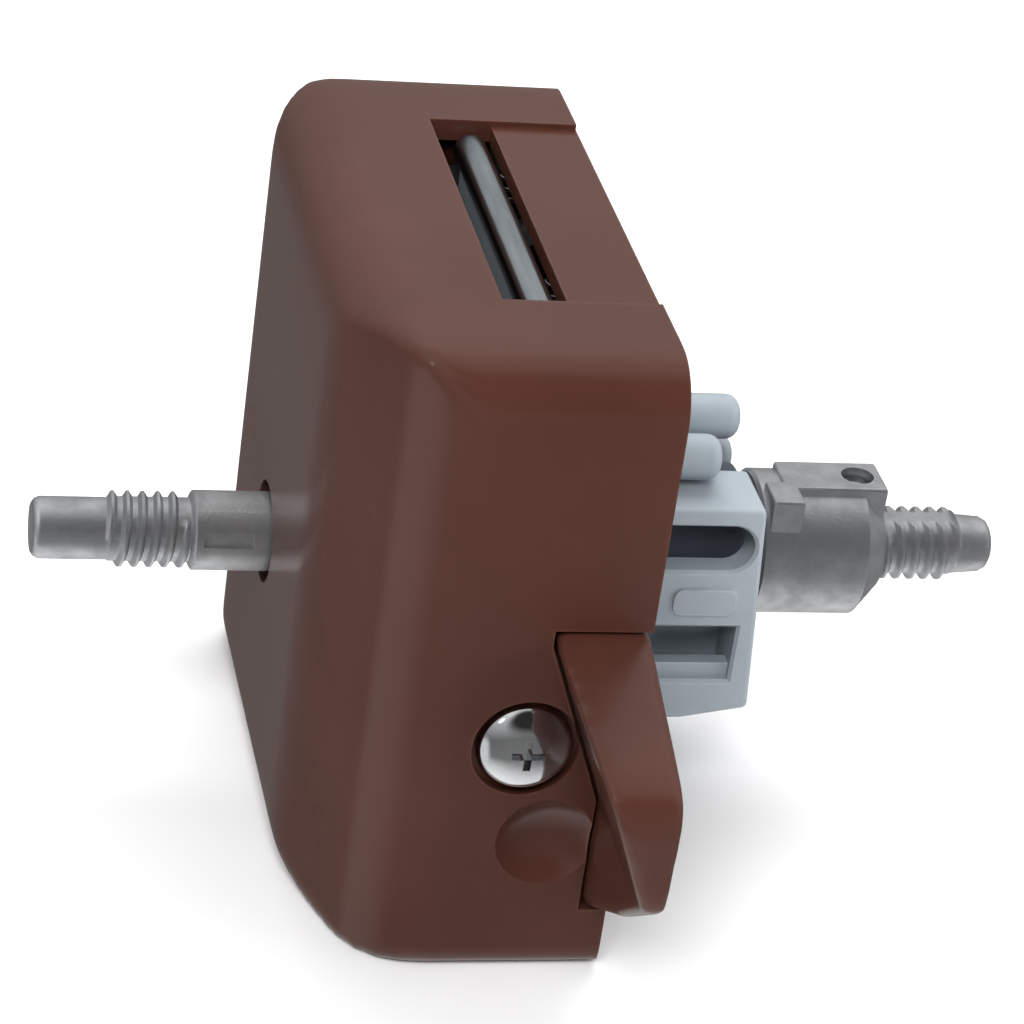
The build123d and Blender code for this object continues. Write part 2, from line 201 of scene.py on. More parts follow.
def bevelChosen(obj, width, segments, test):
    # rounds only the edges that pass the test
    if selectIn(obj, "EDGE", test):
        bpy.ops.mesh.bevel(offset=width * mm, segments=segments, clamp_overlap=True)
    bpy.ops.object.mode_set(mode="OBJECT")


def melt(obj, voxel, passes):
    # a moulded form: every edge runs softly into the next face
    cells = obj.modifiers.new("cells", "REMESH")
    cells.mode = "VOXEL"
    cells.voxel_size = voxel * mm
    applyLast(obj)
    soft = obj.modifiers.new("soft", "SMOOTH")
    soft.factor = 0.5
    soft.iterations = passes
    applyLast(obj)


def smoothShade(obj, angle=30):
    makeActive(obj)
    bpy.ops.object.shade_smooth_by_angle(angle=math.radians(angle))
    even = obj.modifiers.new("even", "WEIGHTED_NORMAL")
    even.keep_sharp = True
    even.weight = 80
    applyLast(obj)


def finishPiece(obj, body, nodes, finish):
    obj.data.materials.clear()
    obj.data.materials.append(finish)
    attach(obj, body)
    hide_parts(*nodes)
    print("made", obj.name, len(obj.data.polygons), "faces")
    return obj


# shared surface effects, as node groups

def newGroup(name, inputs, outputs):
    group = bpy.data.node_groups.new(name, "ShaderNodeTree")
    for label, kind, value in inputs:
        socket = group.interface.new_socket(label, in_out="INPUT", socket_type=kind)
        socket.default_value = value
    for label, kind in outputs:
        group.interface.new_socket(label, in_out="OUTPUT", socket_type=kind)
    return group, group.nodes.new("NodeGroupInput"), group.nodes.new("NodeGroupOutput")


def addNode(tree, kind, **values):
    node = tree.nodes.new(kind)
    for key, value in values.items():
        setattr(node, key, value)
    return node


def buildPatchGroup():
    # slow colour change over the piece
    group, given, out = newGroup(
        "patchTone",
        [("Colour", "NodeSocketColor", (0.5, 0.5, 0.5, 1)), ("Other", "NodeSocketColor", (0.4, 0.4, 0.4, 1)),
         ("Scale", "NodeSocketFloat", 60.0), ("Stretch", "NodeSocketVector", (1, 1, 1))],
        [("Colour", "NodeSocketColor"), ("Mask", "NodeSocketFloat")])
    place = addNode(group, "ShaderNodeTexCoord")
    mapping = addNode(group, "ShaderNodeMapping")
    noise = addNode(group, "ShaderNodeTexNoise")
    noise.inputs["Detail"].default_value = 4
    noise.inputs["Roughness"].default_value = 0.6
    spread = addNode(group, "ShaderNodeMapRange")
    spread.inputs["From Min"].default_value = 0.35
    spread.inputs["From Max"].default_value = 0.65
    mix = addNode(group, "ShaderNodeMix", data_type="RGBA")
    group.links.new(place.outputs["Object"], mapping.inputs["Vector"])
    group.links.new(given.outputs["Stretch"], mapping.inputs["Scale"])
    group.links.new(mapping.outputs["Vector"], noise.inputs["Vector"])
    group.links.new(given.outputs["Scale"], noise.inputs["Scale"])
    group.links.new(noise.outputs["Fac"], spread.inputs["Value"])
    group.links.new(spread.outputs["Result"], mix.inputs["Factor"])
    group.links.new(given.outputs["Colour"], mix.inputs["A"])
    group.links.new(given.outputs["Other"], mix.inputs["B"])
    group.links.new(mix.outputs["Result"], out.inputs["Colour"])
    group.links.new(spread.outputs["Result"], out.inputs["Mask"])
    return group


def buildGrainGroup():
    # fine relief: a noise plus round pits
    group, given, out = newGroup(
        "fineGrain",
        [("Scale", "NodeSocketFloat", 2000.0), ("Pits", "NodeSocketFloat", 0.0),
         ("PitScale", "NodeSocketFloat", 900.0), ("Stretch", "NodeSocketVector", (1, 1, 1))],
        [("Height", "NodeSocketFloat"), ("PitMask", "NodeSocketFloat")])
    place = addNode(group, "ShaderNodeTexCoord")
    mapping = addNode(group, "ShaderNodeMapping")
    noise = addNode(group, "ShaderNodeTexNoise")
    noise.inputs["Detail"].default_value = 3
    cells = addNode(group, "ShaderNodeTexVoronoi")
    dent = addNode(group, "ShaderNodeMapRange")
    dent.inputs["From Min"].default_value = 0.05
    dent.inputs["From Max"].default_value = 0.3
    dent.inputs["To Min"].default_value = 1
    dent.inputs["To Max"].default_value = 0
    deep = addNode(group, "ShaderNodeMath", operation="MULTIPLY")
    height = addNode(group, "ShaderNodeMath", operation="SUBTRACT")
    group.links.new(place.outputs["Object"], mapping.inputs["Vector"])
    group.links.new(given.outputs["Stretch"], mapping.inputs["Scale"])
    group.links.new(mapping.outputs["Vector"], noise.inputs["Vector"])
    group.links.new(given.outputs["Scale"], noise.inputs["Scale"])
    group.links.new(place.outputs["Object"], cells.inputs["Vector"])
    group.links.new(given.outputs["PitScale"], cells.inputs["Scale"])
    group.links.new(cells.outputs["Distance"], dent.inputs["Value"])
    group.links.new(dent.outputs["Result"], deep.inputs[0])
    group.links.new(given.outputs["Pits"], deep.inputs[1])
    group.links.new(noise.outputs["Fac"], height.inputs[0])
    group.links.new(deep.outputs["Value"], height.inputs[1])
    group.links.new(height.outputs["Value"], out.inputs["Height"])
    group.links.new(deep.outputs["Value"], out.inputs["PitMask"])
    return group


def buildEdgeHighlightGroup():
    # painted highlight along edges, convex and concave alike, broken up by a noise
    group, given, out = newGroup(
        "edgeHighlight",
        [("Amount", "NodeSocketFloat", 0.5), ("Scale", "NodeSocketFloat", 400.0)],
        [("Mask", "NodeSocketFloat")])
    place = addNode(group, "ShaderNodeTexCoord")
    shape = addNode(group, "ShaderNodeNewGeometry")
    rounded = addNode(group, "ShaderNodeBevel", samples=4)
    rounded.inputs["Radius"].default_value = 0.35 * mm
    alike = addNode(group, "ShaderNodeVectorMath", operation="DOT_PRODUCT")
    edge = addNode(group, "ShaderNodeMapRange")
    edge.inputs["From Min"].default_value = 0.99
    edge.inputs["From Max"].default_value = 0.85
    noise = addNode(group, "ShaderNodeTexNoise")
    broken = addNode(group, "ShaderNodeMapRange")
    broken.inputs["From Min"].default_value = 0.3
    broken.inputs["From Max"].default_value = 0.6
    patchyHighlight = addNode(group, "ShaderNodeMath", operation="MULTIPLY")
    amount = addNode(group, "ShaderNodeMath", operation="MULTIPLY")
    group.links.new(rounded.outputs["Normal"], alike.inputs[0])
    group.links.new(shape.outputs["Normal"], alike.inputs[1])
    group.links.new(alike.outputs["Value"], edge.inputs["Value"])
    group.links.new(place.outputs["Object"], noise.inputs["Vector"])
    group.links.new(given.outputs["Scale"], noise.inputs["Scale"])
    group.links.new(noise.outputs["Fac"], broken.inputs["Value"])
    group.links.new(edge.outputs["Result"], patchyHighlight.inputs[0])
    group.links.new(broken.outputs["Result"], patchyHighlight.inputs[1])
    group.links.new(patchyHighlight.outputs["Value"], amount.inputs[0])
    group.links.new(given.outputs["Amount"], amount.inputs[1])
    group.links.new(amount.outputs["Value"], out.inputs["Mask"])
    return group


patchTone = buildPatchGroup()
fineGrain = buildGrainGroup()
edgeHighlight = buildEdgeHighlightGroup()

# edge and edgeAmount: colour and strength of the painted highlight along the edges
plainFinish = dict(
    colour=(0.5, 0.5, 0.5), other=(0.4, 0.4, 0.4), edge=(0.7, 0.7, 0.7), edgeAmount=0.4,
    patchScale=60, patchStretch=(1, 1, 1), grainScale=1500, grainStretch=(1, 1, 1), grainBump=0.05,
    pits=0.0, pitScale=700, roughness=(0.3, 0.4), metallic=0.0, specular=0.5, coat=0.0, coatRoughness=0.1)


def makeFinish(name, **changes):
    look = dict(plainFinish, **changes)
    material = bpy.data.materials.new(name)
    material.use_nodes = True
    tree = material.node_tree
    shader = tree.nodes["Principled BSDF"]
    tone = addNode(tree, "ShaderNodeGroup", node_tree=patchTone)
    tone.inputs["Colour"].default_value = (*look["colour"], 1)
    tone.inputs["Other"].default_value = (*look["other"], 1)
    tone.inputs["Scale"].default_value = look["patchScale"]
    tone.inputs["Stretch"].default_value = look["patchStretch"]
    grain = addNode(tree, "ShaderNodeGroup", node_tree=fineGrain)
    grain.inputs["Scale"].default_value = look["grainScale"]
    grain.inputs["Stretch"].default_value = look["grainStretch"]
    grain.inputs["Pits"].default_value = look["pits"]
    grain.inputs["PitScale"].default_value = look["pitScale"]
    edgeShine = addNode(tree, "ShaderNodeGroup", node_tree=edgeHighlight)
    edgeShine.inputs["Amount"].default_value = look["edgeAmount"]
    # every edge is mixed toward the lighter edge colour: a painted highlight along the edges
    highlightMixed = addNode(tree, "ShaderNodeMix", data_type="RGBA")
    highlightMixed.inputs["B"].default_value = (*look["edge"], 1)
    tree.links.new(tone.outputs["Colour"], highlightMixed.inputs["A"])
    tree.links.new(edgeShine.outputs["Mask"], highlightMixed.inputs["Factor"])
    tree.links.new(highlightMixed.outputs["Result"], shader.inputs["Base Color"])
    rough = addNode(tree, "ShaderNodeMapRange")
    rough.inputs["To Min"].default_value = look["roughness"][0]
    rough.inputs["To Max"].default_value = look["roughness"][1]
    tree.links.new(tone.outputs["Mask"], rough.inputs["Value"])
    tree.links.new(rough.outputs["Result"], shader.inputs["Roughness"])
    bump = addNode(tree, "ShaderNodeBump")
    bump.inputs["Strength"].default_value = look["grainBump"]
    bump.inputs["Distance"].default_value = 0.1 * mm
    tree.links.new(grain.outputs["Height"], bump.inputs["Height"])
    tree.links.new(bump.outputs["Normal"], shader.inputs["Normal"])
    shader.inputs["Metallic"].default_value = look["metallic"]
    shader.inputs["Specular IOR Level"].default_value = look["specular"]
    shader.inputs["Coat Weight"].default_value = look["coat"]
    shader.inputs["Coat Roughness"].default_value = look["coatRoughness"]
    return material


brownPlastic = makeFinish(
    "brownPlastic", colour=(0.062, 0.022, 0.015), other=(0.074, 0.027, 0.019), edge=(0.17, 0.06, 0.035),
    edgeAmount=0.5, patchScale=35, grainScale=900, grainBump=0.12, roughness=(0.2, 0.28), specular=0.4)
greyPlastic = makeFinish(
    "greyPlastic", colour=(0.30, 0.35, 0.39), other=(0.34, 0.385, 0.42), edge=(0.5, 0.55, 0.58),
    edgeAmount=0.7, patchScale=90, grainScale=1600, grainBump=0.2, roughness=(0.4, 0.5), specular=0.4)
blackPlastic = makeFinish(
    "blackPlastic", colour=(0.02, 0.02, 0.022), other=(0.03, 0.03, 0.032), edge=(0.09, 0.09, 0.09),
    grainScale=1600, grainBump=0.2, roughness=(0.4, 0.5))
sleevePlastic = makeFinish(
    "sleevePlastic", colour=(0.045, 0.055, 0.07), other=(0.06, 0.07, 0.09), edge=(0.12, 0.14, 0.16),
    grainScale=1600, grainBump=0.15, roughness=(0.3, 0.4))
zincCast = makeFinish(
    "zincCast", colour=(0.56, 0.58, 0.60), other=(0.44, 0.46, 0.48), edge=(0.8, 0.82, 0.85), edgeAmount=0.5,
    patchScale=420, grainScale=2200, grainBump=0.25, pits=0.3, pitScale=1700,
    roughness=(0.34, 0.5), metallic=0.9)
brightSteel = makeFinish(
    "brightSteel", colour=(0.72, 0.74, 0.76), other=(0.62, 0.64, 0.67), edge=(0.85, 0.87, 0.9),
    patchScale=220, grainScale=900, grainBump=0.03, roughness=(0.06, 0.12), metallic=1.0)
drawnSteel = makeFinish(
    "drawnSteel", colour=(0.60, 0.66, 0.70), other=(0.30, 0.35, 0.38), edge=(0.8, 0.84, 0.88),
    patchScale=260, patchStretch=(1, 0.12, 1), grainScale=1800, grainStretch=(1, 0.05, 1), grainBump=0.15,
    roughness=(0.12, 0.3), metallic=1.0)
plainSteel = makeFinish(
    "plainSteel", colour=(0.46, 0.47, 0.48), other=(0.36, 0.37, 0.38), edge=(0.7, 0.7, 0.72),
    patchScale=150, grainScale=1800, grainStretch=(0.2, 1, 1), grainBump=0.15,
    roughness=(0.25, 0.38), metallic=1.0)
springWire = makeFinish(
    "springWire", colour=(0.5, 0.5, 0.53), other=(0.38, 0.38, 0.42), edge=(0.7, 0.7, 0.72),
    patchScale=300, grainScale=2500, grainBump=0.1, roughness=(0.2, 0.32), metallic=1.0)
brassFinish = makeFinish(
    "brassFinish", colour=(0.62, 0.43, 0.18), other=(0.5, 0.34, 0.14), edge=(0.8, 0.62, 0.3),
    patchScale=120, grainScale=1500, grainBump=0.1, roughness=(0.22, 0.35), metallic=1.0)
print("finishes made")


# casing

roundKeys = ("endRound", "outerRound", "lowRound", "frontTop", "frontLow", "backTop", "backLow")
casingShape = dict(
    least=0.5,
    wall=2.0, facetStart=-20.0, facetDepth=5.7, spare=9.2, voxel=0.62, passes=14, segments=12,
    endRound=5.6, crease=2.5, outerRound=6.0, lowRound=3.4, frontTop=5.0, frontLow=1.5, backTop=2.0,
    backLow=3.0, rimRound=0.3,
    windowX=(-13.5, -7.85), windowY=(-22.8, 12.6), stripDepth=0.5,
    handHole=4.65, screwPlace=(-9.3, 0.2), screwPocket=4.6, screwSink=1.0,
    scoopPlace=(-6.4, -9.2), scoopRadius=6.5, scoopDepth=1.6,
    clawTop=11.7, clawLeft=-8.3, clawShoulder=10.2, webLeft=-2.5, webTop=-5.0, clawBottom=-16.3,
    bosses=((-30.5, 30.5), (17.7, 30.7), (17.7, -17.7), (-12.0, -17.7)),
    bossRadius=2.3, bossHole=1.1, bossDrill=9,
    posts=((-8.0, 8.0), (8.0, 8.0)), postRadius=1.9, postHole=0.8, postDrill=5, postEnd=-15.7, plate=-2.0,
    sunk=0.5, seatRadius=8.0, seatDepth=2, seatBore=6.0, windowDepth=6, clawPlay=0.6,
    screwHole=1.4, screwDepth=4)


def sectionBlock(name, y, s):
    # a block along Y with the claw's section: wide above, a narrow web below
    block = addBlock(name, (s["clawLeft"], over), y, (s["clawBottom"], s["clawTop"]))
    sliceOff(block, (0, 0, s["clawShoulder"]), (0, 0, 1), keepBoth=True)
    sliceOff(block, (0, 0, s["webTop"]), (0, 0, 1), keepBoth=True)
    selectIn(block, "VERT", lambda p, v: p[0].x < s["clawLeft"] + 0.01 and p[0].z < s["webTop"] + 0.01)
    bpy.ops.transform.translate(value=Vector((s["webLeft"] - s["clawLeft"], 0, 0)) * mm)
    bpy.ops.object.mode_set(mode="OBJECT")
    return block


def roundAlong(obj, axis, at, width, segments):
    # rounds the one edge that runs along the axis through this place
    across = [i for i in range(3) if i != axisIndex[axis]]
    line = list(zip(across, at))
    bevelChosen(obj, width, segments, lambda p, e: all(abs(q[i] - v) < 0.01 for q in p for i, v in line))


def casingForm(name, s, low, high, inset=0.0):
    # three blocks, each with rounds along its own axis, crossed; an inset gives the form of the hollow
    count = s["segments"]
    step = Vector((inset, inset, inset))
    inner, outer = low + step, high - step
    slope = s["facetDepth"] / (s["facetStart"] - low.y)
    crease = s["facetStart"] + inset * (math.hypot(1, slope) - 1) / slope
    corner = inner.x + slope * (crease - inner.y)
    rounds = {key: max(s["least"], s[key] - inset) for key in roundKeys}
    body = addBlock(name, (inner.x, s["spare"]), (inner.y, outer.y), (inner.z - over, outer.z + over))
    sliceOff(body, (inner.x, crease, 0), (-1, -slope, 0))
    roundAlong(body, "z", (corner, inner.y), rounds["endRound"], count)
    roundAlong(body, "z", (inner.x, crease), s["crease"], count)
    roundAlong(body, "z", (inner.x, outer.y), rounds["outerRound"], count)
    end = s["spare"] + over
    side = addBlock("side", (inner.x, end), (inner.y - over, outer.y + over), (inner.z, outer.z))
    roundAlong(side, "y", (inner.x, outer.z), rounds["outerRound"], count)
    roundAlong(side, "y", (inner.x, inner.z), rounds["lowRound"], count)
    front = addBlock("front", (inner.x - over, end), (inner.y, outer.y), (inner.z, outer.z))
    roundAlong(front, "x", (inner.y, outer.z), rounds["frontTop"], count)
    roundAlong(front, "x", (inner.y, inner.z), rounds["frontLow"], count)
    roundAlong(front, "x", (outer.y, outer.z), rounds["backTop"], count)
    roundAlong(front, "x", (outer.y, inner.z), rounds["backLow"], count)
    combine(body, side, "INTERSECT")
    combine(body, front, "INTERSECT")
    return body


def makeCasing(s):
    low, high = [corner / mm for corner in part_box("casing")]
    inside = low.x + s["wall"]
    body = casingForm("casing_shell", s, low, high)
    melt(body, s["voxel"], s["passes"])
    sliceOff(body, (0, 0, 0), (1, 0, 0))  # the door's face, where the casing is open
    cutAway(body, casingForm("hollow", s, low, high, s["wall"]))
    bosses = [addRod("boss", "x", s["bossRadius"], low.x, s["plate"], place, 32) for place in s["bosses"]]
    joinOn(bosses[0], *bosses[1:])
    combine(bosses[0], casingForm("inside", s, low, high, s["wall"] / 2), "INTERSECT")
    joinOn(body, bosses[0])
    for y, z in s["bosses"]:
        drill = s["plate"] - s["bossDrill"]
        cutAway(body, addRod("hole", "x", s["bossHole"], drill, s["plate"] + over, (y, z), 24))
    for y, z in s["posts"]:
        joinOn(body, addRod("post", "x", s["postRadius"], inside - s["sunk"], s["postEnd"], (y, z), 32))
        drill = s["postEnd"] - s["postDrill"]
        cutAway(body, addRod("hole", "x", s["postHole"], drill, s["postEnd"] + over, (y, z), 24))
    seatEnd = inside + s["seatDepth"]
    joinOn(body, addRod("seat", "x", s["seatRadius"], inside - s["sunk"], seatEnd))
    cutAway(body, addRod("bore", "x", s["seatBore"], inside, seatEnd + over))
    cutAway(body, addRod("hand", "x", s["handHole"], low.x - over, seatEnd + over))
    window = addBlock("window", s["windowX"], s["windowY"], (high.z - s["windowDepth"], high.z + over))
    stripX = (s["windowX"][1] - 0.1, over)
    strip = addBlock("strip", stripX, s["windowY"], (high.z - s["stripDepth"], high.z + over))
    cutAway(body, window, strip)
    cutAway(body, sectionBlock("opening", (low.y - over, low.y + s["wall"] + s["clawPlay"]), s))
    x, z = s["screwPlace"]
    cutAway(body, addRod("pocket", "y", s["screwPocket"], low.y - over, low.y + s["screwSink"], (x, z)))
    cutAway(body, addRod("hole", "y", s["screwHole"], low.y, low.y + s["screwDepth"], (x, z), 32))
    x, z = s["scoopPlace"]
    bpy.ops.object.select_all(action="DESELECT")
    middle = Vector((x, low.y - s["scoopRadius"] + s["scoopDepth"], z)) * mm
    bpy.ops.mesh.primitive_uv_sphere_add(
        segments=64, ring_count=32, radius=s["scoopRadius"] * mm, location=middle)
    cutAway(body, settle("scoop"))
    bevelChosen(body, s["rimRound"], 2, lambda p, e: onCutRim(p, e, s, low, high))
    smoothShade(body)
    return finishPiece(body, "lock_body", ["casing"], brownPlastic)


def onCutRim(points, edge, s, low, high):
    # the edges of the window and of the hand hole, on the casing's outer faces
    if len(edge.link_faces) != 2 or edge.calc_face_angle(0) < math.radians(35):
        return False
    onTop = all(abs(p.z - high.z) < 0.05 for p in points)
    inWindow = all(s["windowX"][0] - 0.1 < p.x < -0.2 for p in points)
    inWindow = inWindow and all(s["windowY"][0] - 0.1 < p.y < s["windowY"][1] + 0.1 for p in points)
    onOuter = all(abs(p.x - low.x) < 0.05 for p in points)
    nearHand = all(math.hypot(p.y, p.z) < s["handHole"] + 0.1 for p in points)
    return (onTop and inWindow) or (onOuter and nearHand)


makeCasing(casingShape)


# claw

clawShape = dict(
    clawTop=11.4, clawLeft=-8.0, clawShoulder=10.2, webLeft=-2.2, webTop=-5.0, clawBottom=-16.0,
    profile=((14.3, 6.8), (16.2, 5.7), (17.0, 3.6), (16.4, -4.9), (9.5, -10.2), (0.0, -16.0)),
    start=11.4, voxel=0.25, passes=80, tail=2.5,
    rootX=(-7.6, -0.4), rootZ=(-15.4, 11.4), rootDepth=6.5, rootGap=2.3, rootSoft=0.4)


def makeClaw(s):
    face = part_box("casing")[0].y / mm
    low, high = [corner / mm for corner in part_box("latch_claw")]
    span = (low.y, face + s["tail"])
    beak = addBlock("claw_beak", (s["clawLeft"], 0), span, (s["clawBottom"], s["clawTop"]))
    sliceOff(beak, (0, 0, s["clawShoulder"]), (0, 0, 1), keepBoth=True)
    sliceOff(beak, (0, 0, s["webTop"]), (0, 0, 1), keepBoth=True)
    selectIn(beak, "VERT", lambda p, v: p[0].x < s["clawLeft"] + 0.01 and p[0].z < s["webTop"] + 0.01)
    bpy.ops.transform.translate(value=Vector((s["webLeft"] - s["clawLeft"], 0, 0)) * mm)
    bpy.ops.object.mode_set(mode="OBJECT")
    before = (face, s["start"])
    for reach, z in s["profile"]:
        after = (face - reach, z)
        run = Vector((0, after[0] - before[0], after[1] - before[1]))
        sliceOff(beak, (0, *before), (0, run.z, -run.y))
        before = after
    melt(beak, s["voxel"], s["passes"])
    back = face + s["rootGap"]
    root = addBlock("root", s["rootX"], (back, back + s["rootDepth"]), s["rootZ"])
    softenEdges(root, s["rootSoft"])
    joinOn(beak, root)
    smoothShade(beak, 40)
    return finishPiece(beak, "latch", ["latch_claw"], brownPlastic)


makeClaw(clawShape)


# spindle ends

threadShape = dict(
    pitch=1.36, turns=5.4, root=2.9, crest=3.42, halfCrest=0.12, halfBase=0.62, steps=48, fade=0.35,
    start=0.4, sunk=0.25)


def addThread(name, start, direction, s):
    # one tooth swept along the helix; both ends run out into the core
    bpy.ops.object.select_all(action="DESELECT")
    bpy.ops.mesh.primitive_circle_add(vertices=4, radius=mm, fill_type="NOTHING")
    tooth = settle(name)
    sunk = s["root"] - s["sunk"]
    base, top, crest = s["halfBase"], s["halfCrest"], s["crest"]
    outline = ((-base, sunk), (-top, crest), (top, crest), (base, sunk))
    for vertex, (x, radius) in zip(tooth.data.vertices, outline):
        vertex.co = Vector((start + x, 0, radius)) * mm
    helix = tooth.modifiers.new("helix", "SCREW")
    helix.axis = "X"
    helix.angle = 2 * math.pi * s["turns"]
    helix.screw_offset = direction * s["pitch"] * s["turns"] * mm
    helix.steps = round(s["steps"] * s["turns"])
    helix.render_steps = helix.steps
    applyLast(tooth)
    count = len(tooth.data.vertices) // 4
    for vertex in tooth.data.vertices:
        ring = vertex.index // 4  # four corners a ring
        keep = min(1.0, min(ring, count - 1 - ring) / s["steps"] / s["fade"])
        radius = math.hypot(vertex.co.y, vertex.co.z) / mm
        wanted = sunk + (radius - sunk) * max(keep, 0.02)
        vertex.co.y *= wanted / radius
        vertex.co.z *= wanted / radius
    selectIn(tooth, "EDGE", lambda p, e: e.is_boundary)
    bpy.ops.mesh.fill_holes(sides=4)
    fixNormals(tooth)
    return tooth


roomEnd = dict(
    collar=3.6, collarEnd=-33.3, tip=2.8, tipStart=-40.7, tipEnd=-47.6, inner=-9.5,
    markX=(-32.5, -28.0), markZ=(0.2, 2.0), markDepth=0.35, flat=3.0, flatEnd=-22.5, bore=3.4, boreEnd=-24.0,
    bevel=0.15, runOut=0.25, nose=(0.7, 0.6), noseMid=(0.25, 0.22), far=5)


def makeRoomEnd(s, t):
    stations = [
        (s["inner"], s["collar"]), (s["collarEnd"] + s["bevel"], s["collar"]),
        (s["collarEnd"], s["collar"] - s["bevel"]), (s["collarEnd"] - s["runOut"], t["root"]),
        (s["tipStart"], t["root"]), (s["tipStart"] - s["bevel"], s["tip"]),
        (s["tipEnd"] + s["nose"][0], s["tip"]),
        (s["tipEnd"] + s["noseMid"][0], s["tip"] - s["noseMid"][1]), (s["tipEnd"], s["tip"] - s["nose"][1])]
    core = turnPiece("room_spindle", "x", stations)
    joinOn(core, addThread("thread", s["collarEnd"] - t["start"], -1, t))
    half = s["bore"] / 2
    cutAway(core, addBlock("mark", s["markX"], (-s["far"], -s["collar"] + s["markDepth"]), s["markZ"]))
    for side in (1, -1):
        flat = sorted((side * s["flat"], side * s["far"]))
        cutAway(core, addBlock("flat", (s["flatEnd"], 0), (-s["far"], s["far"]), flat))
    cutAway(core, addBlock("bore", (s["boreEnd"], 0), (-half, half), (-half, half)))
    smoothShade(core, 35)
    return finishPiece(core, "spindle", ["inner_spindle"], zincCast)


makeRoomEnd(roomEnd, threadShape)

outerEnd = dict(
    start=29.9, face=30.9, threadEnd=38.3, end=42.0, tip=2.6, flat=2.8,
    play=0.02, shoulder=(0.2, 0.1), nose=(0.8, 0.7), noseMid=(0.25, 0.3), flatGap=0.2, far=4)


def makeOuterEnd(s, t):
    stations = [
        (s["start"], t["root"] - s["play"]), (s["threadEnd"], t["root"]),
        (s["threadEnd"] + s["shoulder"][0], t["root"] - s["shoulder"][1]),
        (s["end"] - s["nose"][0], s["tip"]),
        (s["end"] - s["noseMid"][0], s["tip"] - s["noseMid"][1]), (s["end"], s["tip"] - s["nose"][1])]
    core = turnPiece("outer_stub", "x", stations)
    joinOn(core, addThread("thread", s["face"] + t["start"], 1, t))
    far = s["far"]
    cutAway(core, addBlock("flat", (s["face"] + s["flatGap"], s["threadEnd"]), (-far, far), (s["flat"], far)))
    smoothShade(core, 35)
    return finishPiece(core, "spindle", ["outer_spindle"], zincCast)


makeOuterEnd(outerEnd, threadShape)


# barrel

barrelShape = dict(
    start=18.3, end=30.9, radius=6.7, cone=2.4, nose=4.2, neck=5.0,
    landHalf=2.6, landX=(20.7, 30.6), landTop=7.05,
    lugX=(18.9, 21.9), lugY=(-5.4, -1.4), lugZ=(2.0, 7.1), pinX=28.2, pinHole=1.55, pinReach=9,
    bore=3.4, boreEnd=26, socket=2.9, neckLength=1.5, rim=0.3, step=0.1, landSoft=0.35, lugSoft=0.3)


def makeBarrel(s):
    stations = [
        (s["start"] - s["neckLength"], s["neck"]), (s["start"], s["neck"]),
        (s["start"] + 0.02, s["radius"] - s["rim"]), (s["start"] + s["rim"], s["radius"]),
        (s["end"] - s["cone"], s["radius"]), (s["end"] - s["step"], s["nose"] + s["step"]),
        (s["end"], s["nose"] - s["step"])]
    barrel = turnPiece("outer_barrel_casting", "x", stations, sides=96)
    land = addBlock("land", s["landX"], (-s["landHalf"], s["landHalf"]), (0, s["landTop"]))
    softenEdges(land, s["landSoft"], 3)
    lug = addBlock("lug", s["lugX"], s["lugY"], s["lugZ"])
    softenEdges(lug, s["lugSoft"], 3)
    joinOn(barrel, land, lug)
    cutAway(barrel, addRod("pin", "z", s["pinHole"], -s["pinReach"], s["pinReach"], (s["pinX"], 0), 48))
    half = s["bore"] / 2
    cutAway(barrel, addBlock("bore", (s["start"] - 2, s["boreEnd"]), (-half, half), (-half, half)))
    cutAway(barrel, addRod("socket", "x", s["socket"], s["end"] - 1, s["end"] + over))
    smoothShade(barrel)
    return finishPiece(barrel, "spindle", ["outer_barrel"], zincCast)


makeBarrel(barrelShape)


# guide and pegs

guideShape = dict(
    half=10.0, inner=7.9, top=8.7, bottom=-13.4, start=-2.0, openFrom=-2.6, edge=0.5,
    upperX=(4.0, 14.0), upperZ=(2.4, 7.0), lowerX=(4.0, 15.9), lowerZ=(-9.2, -3.5), rim=0.3, windowDepth=3,
    slantTop=16.8, slantEnd=18.3, slantLow=-12.2, heelX=12.0, backGap=0.4, backLow=-3.5, far=30, before=-5,
    ledgeX=(3.9, 16.0), ledgeZ=(-9.3, -7.8), ledgeSink=0.9, ledgeBack=0.1,
    badgeX=(9.4, 15.3), badgeZ=(-2.1, 0.6), badgeOut=0.3, badgeRound=0.9, badgeSoft=0.12,
    flange=1.5, flangeStart=-4.0, flangeBelow=1.2, flangeAbove=5.4,
    slotHalf=3.3, detentX=4.0, detentRadius=1.3, detentZ=(-12.6, -5))


def flaredBlock(name, x, z, face, rim):
    # a cutter that slants a window's rim, widest in front of the face that looks along -Y
    block = addBlock(name, x, (face - rim, face + rim), z)
    selectIn(block, "VERT", lambda p, v: p[0].y < face)
    grow = ((x[1] - x[0] + 4 * rim) / (x[1] - x[0]), 1, (z[1] - z[0] + 4 * rim) / (z[1] - z[0]))
    middle = Vector((sum(x) / 2, face - rim, sum(z) / 2)) * mm
    bpy.ops.transform.resize(value=grow, center_override=middle)
    bpy.ops.object.mode_set(mode="OBJECT")
    return block


